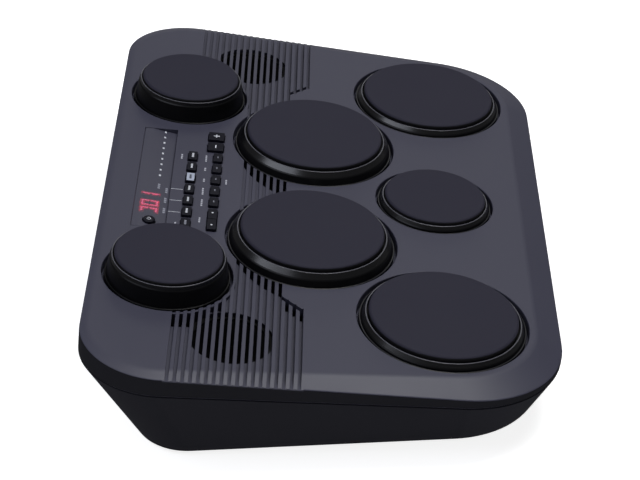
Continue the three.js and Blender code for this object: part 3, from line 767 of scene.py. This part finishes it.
def pad_rubber(name, x, y, kind):
    side = kind["radius"] + RUBBER["overhang"]
    top = kind["top"]
    bottom = top - RUBBER["thickness"]
    corners = [
        (0, bottom, 0), (side, bottom, 0.4), (side, top - RUBBER["crown"], RUBBER["edge"]), (0, top, 0),
    ]
    shape = lathe(x, y, rounded(corners, 8, closed=False), PAD_SEGMENTS)
    thing = piece(f"pad_rubber_skin_{name}", shape, "rubber", replaces=[f"pad_rubber_{name}"])
    # Faces turned more than 60 degrees from up get the near-black rubber: painted shade on the pad's
    # rounded edge and side.
    thing.data.materials.append(MATERIAL["pad_side_shade"])
    for face in thing.data.polygons:
        if face.normal.z < 0.5:
            face.material_index = 1


def pad_ring(name, x, y, kind):
    """A gloss ring: foot flange, steep side, soft shoulder, sloping band and rim at the lip; the rim's
    top and the flange carry lighter greys as painted highlights.
    """
    lip_radius, lip = kind["lip"]
    shoulder_radius, shoulder = kind["shoulder"]
    foot, flange = kind["foot"], kind["flange"]
    bore = lip_radius - RIM["width"]
    seat = kind["radius"] - RING_SEAT["width"]
    ledge = kind["top"] - RUBBER["thickness"] - RING_SEAT["gap"]
    base = WELL["floor"] + GAP
    slope_start = foot - 1
    profile = rounded([
        (foot - WALL, base, 0.2), (foot, base, 0.2), (foot, flange, 0.45), (slope_start, flange, 0.2),
        (shoulder_radius + 0.25, shoulder - 0.9, 0.9), (shoulder_radius - 0.5, shoulder, 0.5),
        (lip_radius, lip, RIM["edge"]), (bore, lip, 0.25), (bore, ledge, 0.1), (seat, ledge, 0.1),
        (seat, ledge - RING_SEAT["thickness"], 0.1),
    ], 4)
    shape = lathe(x, y, profile, PAD_SEGMENTS)
    thing = piece(f"pad_ring_gloss_{name}", shape, "ring", replaces=[f"pad_ring_{name}"])
    for finish in RING_FINISHES_AND_HIGHLIGHTS[1:]:
        thing.data.materials.append(MATERIAL[finish])
    into_deck = DECK.inverted()
    for face in thing.data.polygons:
        u, v, z = into_deck @ face.center
        on_foot = z > flange - RIM["edge"] and math.hypot(u - x, v - y) > slope_start
        finish = "ring"
        # The lip's top gets a light grey and, on all but the rear rings, the foot flange a mid grey: both
        # painted highlights. Below the shoulder the ring takes the less glossy skirt.
        if z > lip - RIM["edge"] / 2:
            finish = "rim"
        elif on_foot and kind is not REAR:
            finish = "flange"
        elif z < shoulder + 0.3:
            finish = "skirt"
        face.material_index = RING_FINISHES_AND_HIGHLIGHTS.index(finish)


# ---------------------------------------------------------------- control panel

def key_cap(body, x, y, depth=KEY["depth"]):
    """A cap with a rounded top edge and a flange at its foot."""
    width, corner = KEY["width"], KEY["corner"]
    wider = 2 * KEY_FLANGE["reach"]
    cap = slab(x, y, width, depth, corner, KEY["bottom"], KEY["proud"], KEY["edge"])
    flange = slab(x, y, width + wider, depth + wider, corner, KEY_FLANGE["bottom"], KEY_FLANGE["top"])
    piece(f"{body}_cap", merged([cap, flange]), "key", body, replaces=[body])


def mark(name, shapes, body="housing", material="print"):
    """Printing, a thin film on the surface."""
    piece(name, merged(shapes), material, body)


def film(x, y, width, depth, z=0.0):
    return box(x - width / 2, x + width / 2, y - depth / 2, y + depth / 2, z, z + FILM)


def pane_film(x, y, width, depth):
    """A film that follows the slope of the pane."""
    front, rear = y - depth / 2, y + depth / 2
    section = [(front, pane_height(front)), (rear, pane_height(rear))]
    section += [(v, z + 0.04) for v, z in reversed(section)]
    return along_x(section, x - width / 2, x + width / 2)


def pane_label(x, y):
    """Three short plain bars on the pane, centred on x."""
    return [pane_film(x + dx, y, *LABEL) for dx in (-2.4, 0, 2.4)]


def dashes(x, y, count, dash=1.7, pitch=2.4, depth=1.2):
    """A row of short plain bars on the deck, centred on x."""
    return [film(x + pitch * (i - (count - 1) / 2), y, dash, depth) for i in range(count)]


def rear_keys():
    """The rear row; each cap has four short bars, and one cap has a light face."""
    y, slots = REAR_KEYS
    for i, slot in enumerate(slots):
        x = slot * KEY_PITCH
        body = f"rear_key_{i + 1}"
        top, material = KEY["proud"], "print"
        key_cap(body, x, y)
        if slot == slots[0]:
            material = "faint_print"
        if slot == 0:
            base, material = top, "key"
            top += 0.1
            face = slab(x, y, KEY["width"] - 1.2, KEY["depth"] - 1.2, 0.5, base, top, 0.05)
            piece(f"{body}_face", face, "light_key", body)
        bars = [film(x + dx, y, 1.1, 1.5, top) for dx in (-2.2, -0.7, 0.8, 2.3)]
        mark(f"{body}_legend", bars, body, material)


def front_keys():
    """The front row; each cap has one short faint bar."""
    y, slots = FRONT_KEYS
    for i, slot in enumerate(slots):
        x = slot * KEY_PITCH
        body = f"front_key_{i + 1}"
        key_cap(body, x, y)
        mark(f"{body}_legend", [film(x, y, 2.2, 0.7, KEY["proud"])], body, "faint_print")


def wide_keys():
    """The two deeper keys, marked minus and plus."""
    y, depth, slots = WIDE_KEYS
    top = KEY["proud"]
    for body, slot in zip(("value_down_key", "value_up_key"), slots):
        x = slot * KEY_PITCH
        key_cap(body, x, y, depth)
        shapes = [film(x, y, 4.4, 0.9, top)]
        if body == "value_up_key":
            shapes += [film(x, y + side * 1.4, 1.1, 1.8, top) for side in (-1, 1)]
        mark(f"{body}_legend", shapes, body)


def rocker():
    """A cap two keys wide, with a shallow line across its middle and a dot at each end."""
    x, y, width = ROCKER
    body = "volume_rocker"
    top, depth = KEY["proud"], KEY["depth"]
    thing = mesh_object(
        "volume_rocker_cap",
        *slab(x, y, width, depth, KEY["corner"], ROCKER_BOTTOM, top, KEY["edge"]),
        DECK,
    )
    half = ROCKER_LINE["half"]
    line = box(x - half, x + half, y - 5, y + 5, top - ROCKER_LINE["depth"], top + 1)
    solve(thing, [("DIFFERENCE", line, DECK)])
    finish_piece(thing, "key", body, replaces=[body])
    dots = [disc(x + dx, y, 0.75, top, top + FILM, 20) for dx in (-8, 8)]
    mark("volume_rocker_legend", dots, body)


def display():
    """The smoked pane, with a hole for the power key."""
    gap = PANE["clearance"]
    half, front, rear = WINDOW["half"] - gap, WINDOW["front"] + gap, WINDOW["rear"] - gap
    flush = WINDOW["flush"]
    section = [(y, pane_height(y, PANE["thickness"])) for y in (front, flush, rear)]
    section += [(y, pane_height(y)) for y in (rear, flush, front)]
    thing = mesh_object("display_pane", *along_x(section, -half, half), DECK)
    x, y, radius, _ = POWER
    solve(thing, [("DIFFERENCE", disc(x, y, radius + 0.4, -FAR, FAR), DECK)])
    finish_piece(thing, "window", "housing", replaces=["display_window"])


def segment(x, ends, z, grow=0):
    """One straight bar of a digit; upright bars fill the corners and level ones fit between them."""
    w = (DIGIT["width"] - DIGIT["stroke"]) / 2
    h = (DIGIT["height"] - DIGIT["stroke"]) / 2
    half = DIGIT["stroke"] / 2
    (left, low), (right, high) = sorted(ends)
    reach = half + grow
    if left == right:
        x0, x1 = left * w - reach, right * w + reach
        waist = grow / 2 - DIGIT["gap"]
        y0 = low * h - (reach if low else waist)
        y1 = high * h + (reach if high else waist)
    else:
        gap = DIGIT_BAR["end_gap"]
        x0, x1 = half + gap - w - grow, w - half - gap + grow
        y0, y1 = low * h - reach, low * h + reach
    corners = ((x0, y0), (x1, y0), (x1, y1), (x0, y1))
    path = [(x + u + DIGIT["slant"] * v, DIGIT["y"] + v) for u, v in corners]
    return prism(path, z - DIGIT_BAR["thickness"], z)


def digits():
    """Three seven-segment digits that lie flat under the pane, with a soft glow round lit bars."""
    shapes = {kind: [] for kind in ("lit", "unlit", *HALO)}
    lift, step = DIGIT_BAR["unlit_lift"], DIGIT_BAR["halo_step"]
    for x, lit in zip(DIGIT_XS, LIT):
        for name, ends in SEGMENTS.items():
            if name not in lit:
                shapes["unlit"].append(segment(x, ends, DIGIT["z"] + lift))
                continue
            shapes["lit"].append(segment(x, ends, DIGIT["z"]))
            for layer, (kind, grow) in enumerate(HALO.items(), 1):
                shapes[kind].append(segment(x, ends, DIGIT["z"] - step * layer, grow))
    for kind, bars in shapes.items():
        piece(f"digit_segments_{kind}", merged(bars), kind)
    x = sum(DIGIT_XS) / len(DIGIT_XS)
    module = DIGIT_MODULE
    top = DIGIT["z"] - 0.4
    shape = slab(x, DIGIT["y"], module["width"], module["depth"], 0.5, module["bottom"], top, 0.3)
    piece("digit_module", shape, "display", replaces=["led_display"])


def power_key():
    """A round cap with a flange and a stem, and the power sign on top."""
    x, y, radius, top = POWER
    stem = POWER_STEM
    wide, low, high = radius + stem["flange"], stem["flange_bottom"], stem["flange_top"]
    profile = rounded([
        (0, stem["bottom"], 0), (stem["radius"], stem["bottom"], 0), (stem["radius"], low, 0.2),
        (wide, low, 0), (wide, high, 0), (radius, high, 0), (radius, top, 0.8), (0, top, 0),
    ], 5, closed=False)
    piece("power_key_cap", lathe(x, y, profile, 48), "key", "power_key", replaces=["power_key"])
    outer, inner = 1.5, 1.1
    first, sweep, steps = 130, 280, 14
    arc = []
    for step in range(steps + 1):
        angle = math.radians(first + sweep * step / steps)
        arc.append(Vector((math.cos(angle), math.sin(angle))))
    path = [(x + outer * p.x, y + outer * p.y) for p in arc]
    path += [(x + inner * p.x, y + inner * p.y) for p in reversed(arc)]
    bar = box(x - 0.2, x + 0.2, y + 0.4, y + 1.9, top, top + FILM + 0.001)
    mark("power_key_icon", [prism(path, top, top + FILM), bar], "power_key")


def printing():
    """Generic marks on the deck and the pane: scale dots, guide lines and short bars."""
    places = [SCALE["x"] + SCALE["pitch"] * i for i in range(SCALE["count"])]
    mark("pane_scale", [pane_film(x, SCALE["y"], *SCALE["mark"]) for x in places])
    labels = pane_label(-10.9, 112)
    for x in (-14.5, -28, -41.9):
        labels += pane_label(x, 106.2)
    mark("pane_labels", labels, material="faint_print")
    lines = [film(-KEY_PITCH * i, 98.7, 0.5, 8.6) for i in (1, 2, 3)]
    lines += [disc(KEY_PITCH * (i - 0.5), REAR_KEYS[0], 0.5, 0, FILM, 16) for i in (0, -1, -2, -3)]
    mark("deck_lines", lines)
    bars = []
    for slot, count in zip(FRONT_KEYS[1], (4, 4, 2, 2, 4)):
        bars += dashes(slot * KEY_PITCH, 79.9, count)
    bars += dashes(ROCKER[0], 80.2, 3)
    bars += dashes(2 * KEY_PITCH, 98, 3) + dashes(-4 * KEY_PITCH, 97, 2) + dashes(0, 63.6, 3)
    mark("deck_labels", bars, material="label_print")


def control_board():
    """The board under the keys, with a switch under each."""
    top = BOARD["top"]
    shapes = [slab(0, BOARD["y"], BOARD["width"], BOARD["depth"], 2, BOARD["bottom"], top, 0.2)]
    for x, y, *_ in key_places():
        shapes.append(slab(x, y, SWITCH["size"], SWITCH["size"], 0.4, top, SWITCH["top"], 0.2))
    piece("control_board_panel", merged(shapes), "board", replaces=["control_board"])


# ---------------------------------------------------------------- sound

def speaker_basket(name, x, y):
    """From the magnet's back up the open basket to the mounting flange, and down inside."""
    profile = rounded([
        (0, -32.7, 0), (17, -32.7, 0.8), (17, -23.7, 0.4), (27, -8.3, 0.5), (30.5, -8.3, 0.2),
        (30.5, -6.7, 0.2), (26, -6.7, 0.2), (26, -8.3, 0.2), (10, -22.2, 0.4), (0, -22.2, 0),
    ], 3, closed=False)
    shape = lathe(x, y, profile, 64)
    piece(f"speaker_basket_{name}", shape, "speaker", replaces=[f"speaker_frame_{name}"])


def speaker_paper(name, x, y):
    """The cone's underside out to its surround, then its top side back in to the dust cap."""
    profile = [
        (0, -16.5), (7, -16.5), (20, -9.4), (22.3, -7.9), (25, -8.6),
        (25, -8), (22.3, -7.1), (19.8, -8.6), (7, -15.7), (5.6, -14.4), (3, -13.4), (0, -13.1),
    ]
    shape = lathe(x, y, profile, 64)
    piece(f"speaker_paper_{name}", shape, "cone", replaces=[f"speaker_cone_{name}"], sharp=50)


# ---------------------------------------------------------------- tray

def tray_rim(inset, lift):
    """The casing's edge along the parting plane, in the row's frame."""
    return [tuple(ROW.inverted() @ (DECK @ Vector(p))) for p in ring(EDGE, PARTING, inset, lift)]


def facing_rear(x, shape):
    """A shape turned about the z axis, laid down at a socket's place with its axis along y."""
    verts, faces = shape
    return [(x + u, w, JACK_Z - v) for u, v, w in verts], faces


def bay_wall(outside):
    """The wall round the recess for the sockets, trimmed to the tray's outside."""
    half, y, bottom, top = BAY["half"], BAY["y"], BAY["bottom"], BAY["top"]
    shape = box(-half - WALL, half + WALL, y - WALL, BAY["rear"], bottom - WALL, top + WALL)
    return solve(mesh_object("bay_wall", *shape, ROW), [("INTERSECT", outside, ROW)])


def bay_mouth():
    """The cutter for the recess, with round corners."""
    half, bottom, top, corner = BAY["half"], BAY["bottom"], BAY["top"], BAY["corner"]
    corners = [(-half, bottom, corner), (half, bottom, corner), (half, top, corner), (-half, top, corner)]
    mouth = rounded(corners)
    return loft([[(x, y, z) for x, z in reversed(mouth)] for y in (BAY["y"], BAY["y"] + FAR)])


def battery_room():
    """The box over the batteries, the room inside it and the recess for its door."""
    b = BATTERY
    half, front, rear, roof = b["half"], b["front"], b["rear"], b["roof"]
    walls = box(-half - WALL, half + WALL, front - WALL, rear + WALL, FOOT[1], roof + WALL)
    room = box(-half, half, front, rear, -1, roof)
    wider = 2 * b["margin"]
    ceiling = FOOT[1] + b["door"] + GAP
    recess = slab(0, (front + rear) / 2, 2 * half + wider, rear - front + wider, 3, -1, ceiling)
    return walls, room, recess


def tray():
    floor = FOOT[1]
    foot = ring(TRAY_FOOT, level(floor))
    rim = tray_rim(0, -GAP - SEAM)
    sole = ring(TRAY_FOOT, level(floor), 6)
    rings = eased(sole, foot, rim, 3.0) + [rim, tray_rim(SEAM, -GAP)]
    thing = mesh_object("tray_casing", *loft(rings), ROW)
    inside = loft([
        ring(TRAY_FOOT, level(floor + WALL), WALL), tray_rim(WALL, 0), tray_rim(WALL, FAR / 4),
    ])
    walls, room, recess = battery_room()
    bosses = [disc(x, y, BOSS["radius"], floor, floor + BOSS["height"], 24) for x, y in SCREWS]
    bores = [disc(x, y, BOSS["bore"], -1, floor + BOSS["bore_height"], 32) for x, y in SCREWS]
    y = BAY["y"]
    socket_holes = [
        facing_rear(x, disc(0, 0, radius + GAP, y - 6, y + 6, 48)) for x, radius, _ in JACKS.values()
    ]
    solve(thing, [
        ("DIFFERENCE", inside, ROW),
        ("UNION", bay_wall(loft([foot, rim])), None),
        ("UNION", merged([walls] + bosses), ROW),
        ("DIFFERENCE", bay_mouth(), ROW),
        ("DIFFERENCE", room, ROW),
        ("DIFFERENCE", recess, ROW),
        ("DIFFERENCE", merged(bores), ROW),
        ("DIFFERENCE", merged(socket_holes), ROW),
    ])
    finish_piece(thing, "tray", "housing", replaces=["bottom_tray"])


def jack(name, x, radius, bore):
    """A panel socket: body behind the panel, bush through it and a plated rim round the bore."""
    front = BAY["y"] + JACK["proud"]
    nut = BAY["y"] - WALL - GAP
    back, bore_end, wide = nut - JACK["body"], nut - JACK["bore_end"], radius + JACK["nut"]
    profile = rounded([
        (0, back, 0), (wide, back, 0.3), (wide, nut, 0.2), (radius, nut, 0), (radius, front, 0.6),
        (bore, front, 0.3), (bore, bore_end, 0), (0, bore_end, 0),
    ], 4, closed=False)
    bush = facing_rear(x, lathe(0, 0, profile, 48))
    piece(f"{name}_bush", bush, "socket", matrix=ROW, replaces=[name])
    inner, outer, rim = bore - 0.5, bore - 0.05, bore + 1.1
    start, under, face = nut - JACK["sleeve"], front + 0.2, front + 0.6
    sleeve = rounded([
        (inner, start, 0), (outer, start, 0), (outer, under, 0.1), (rim, under, 0.2),
        (rim, face, 0.2), (inner, face, 0.2),
    ], 3)
    piece(f"{name}_sleeve", facing_rear(x, lathe(0, 0, sleeve, 48)), "steel", matrix=ROW)


def battery_door():
    """A plate with grip lines near its rear edge and a latch behind them."""
    half, front, rear = BATTERY["half"], BATTERY["front"], BATTERY["rear"]
    margin = BATTERY["margin"] - 0.5
    floor = FOOT[1]
    width, depth = 2 * (half + margin), rear - front + 2 * margin
    plate = slab(0, (front + rear) / 2, width, depth, 2.5, floor, floor + BATTERY["door"])
    thing = mesh_object("battery_door_plate", *plate, ROW)
    grips = []
    for i in range(GRIP["count"]):
        shift = GRIP["pitch"] * i
        y0, y1 = rear - GRIP["first"] - 1 - shift, rear - GRIP["first"] - shift
        grips.append(box(-GRIP["half"], GRIP["half"], y0, y1, 0, floor + GRIP["depth"]))
    latch = box(-LATCH["half"], LATCH["half"], rear - 4, rear - 1, floor + 1, floor + LATCH["top"])
    solve(thing, [("DIFFERENCE", merged(grips), ROW), ("UNION", latch, ROW)])
    finish_piece(thing, "tray", "battery_door", replaces=["battery_door"])


def screws():
    """Crosshead screws, head down in the bosses of the tray."""
    head, shank = 2.6, 1.3
    z = FOOT[1] + SCREW_RISE
    neck, tip = z + 1.8, z + 5.9
    profile = rounded([
        (0, z, 0), (head, z, 0.8), (head, neck, 0), (shank, neck, 0), (shank, tip, 0), (0, tip, 0),
    ], 4, closed=False)
    for i, (x, y) in enumerate(SCREWS):
        thing = mesh_object(f"casing_screw_{i + 1}", *lathe(x, y, profile, 32), ROW)
        arms = [
            box(x - u, x + u, y - v, y + v, z - 1, z + 0.9) for u, v in ((1.5, 0.3), (0.3, 1.5))
        ]
        solve(thing, [("DIFFERENCE", arm, ROW) for arm in arms])
        finish_piece(thing, "steel", "housing")


def feet():
    """Rubber feet with a shallow dimple underneath."""
    radius, height = FOOT
    for name, (x, y) in FEET.items():
        profile = rounded([
            (0, 0.5, 0), (3, 0.5, 0), (3.4, 0, 0.2), (radius - 0.6, 0, 0.8), (radius, height - GAP, 0.3),
            (0, height - GAP, 0),
        ], 4, closed=False)
        piece(f"foot_pad_{name}", lathe(x, y, profile, 48), "foot", matrix=ROW, replaces=[f"foot_{name}"])


# ---------------------------------------------------------------- what keeps its CAD shape

def dress(node, material):
    for slot in bpy.data.objects[node].material_slots:
        slot.material = MATERIAL[material]


def carried_nodes():
    for name in PADS:
        dress(f"pad_plate_{name}", "steel")
    for node in ("battery_contacts_left", "battery_contacts_right"):
        dress(node, "steel")
    dress("main_board", "board")


# ---------------------------------------------------------------- stage, light and camera

def stage_floor():
    half = 30
    corners = [(-half, -half, 0), (half, -half, 0), (half, half, 0), (-half, half, 0)]
    floor = mesh_object("floor", corners, [(0, 1, 2, 3)], Matrix.Identity(4))
    material, nodes, _ = new_material("pale_floor")
    set_inputs(nodes["Principled BSDF"], {
        "Base Color": (0.7, 0.7, 0.7, 1),
        "Roughness": 0.9,
        "Emission Color": (1, 1, 1, 1),
        "Emission Strength": 0.85,
    })
    floor.data.materials.append(material)
    floor.visible_glossy = False


def softbox(name, at, size, power, roll=0, colour=(1, 1, 1)):
    """A rectangular light in metres and watts, aimed at the object and rolled by some degrees."""
    light = bpy.data.lights.new(name, "AREA")
    light.shape = "RECTANGLE"
    light.size, light.size_y = size
    light.energy = power
    light.color = colour
    thing = bpy.data.objects.new(name, light)
    thing.location = at
    aim = (Vector((0, 0, 0.05)) - Vector(at)).to_track_quat("-Z", "Y")
    thing.rotation_euler = (aim @ Quaternion((0, 0, 1), math.radians(roll))).to_euler()
    bpy.context.scene.collection.objects.link(thing)


def lights():
    world = bpy.data.worlds.new("studio")
    bpy.context.scene.world = world
    world.use_nodes = True
    set_inputs(world.node_tree.nodes["Background"], {"Color": (1, 1, 1, 1), "Strength": 0.1})
    softbox("overhead_light", at=(0.12, -0.42, 1.9), size=(0.9, 0.9), power=23)
    softbox(
        "rear_light", at=(-0.65, 1.02, 1.53), size=(1.5, 0.6), power=9.5, roll=25,
        colour=(0.84, 0.88, 1),
    )
    softbox("far_light", at=(2.6, 0.1, 0.5), size=(3.0, 0.7), power=4)
    softbox("horizon_light", at=(2.2, -0.35, 1.6), size=(1.1, 0.7), power=2.4)
    bpy.context.scene.view_settings.view_transform = "Standard"


def camera():
    data = bpy.data.cameras.new("camera")
    data.lens = CAMERA_LENS
    data.sensor_width = 36
    data.clip_end = 100
    thing = bpy.data.objects.new("camera", data)
    thing.location = Vector(CAMERA_AT) * MM
    thing.rotation_euler = Vector(CAMERA_AIM).to_track_quat("-Z", "Y").to_euler()
    bpy.context.scene.collection.objects.link(thing)
    bpy.context.scene.camera = thing


camera()
lights()
stage_floor()
top_shell()
tray()
for pad, (pad_x, pad_y, pad_kind) in PADS.items():
    pad_rubber(pad, pad_x, pad_y, pad_kind)
    pad_ring(pad, pad_x, pad_y, pad_kind)
rear_keys()
front_keys()
wide_keys()
rocker()
display()
digits()
power_key()
printing()
control_board()
for speaker, side in (("left", -1), ("right", 1)):
    speaker_basket(speaker, side * GRILLE[0], GRILLE[1])
    speaker_paper(speaker, side * GRILLE[0], GRILLE[1])
for socket, (socket_x, socket_radius, socket_bore) in JACKS.items():
    jack(socket, socket_x, socket_radius, socket_bore)
battery_door()
screws()
feet()
carried_nodes()
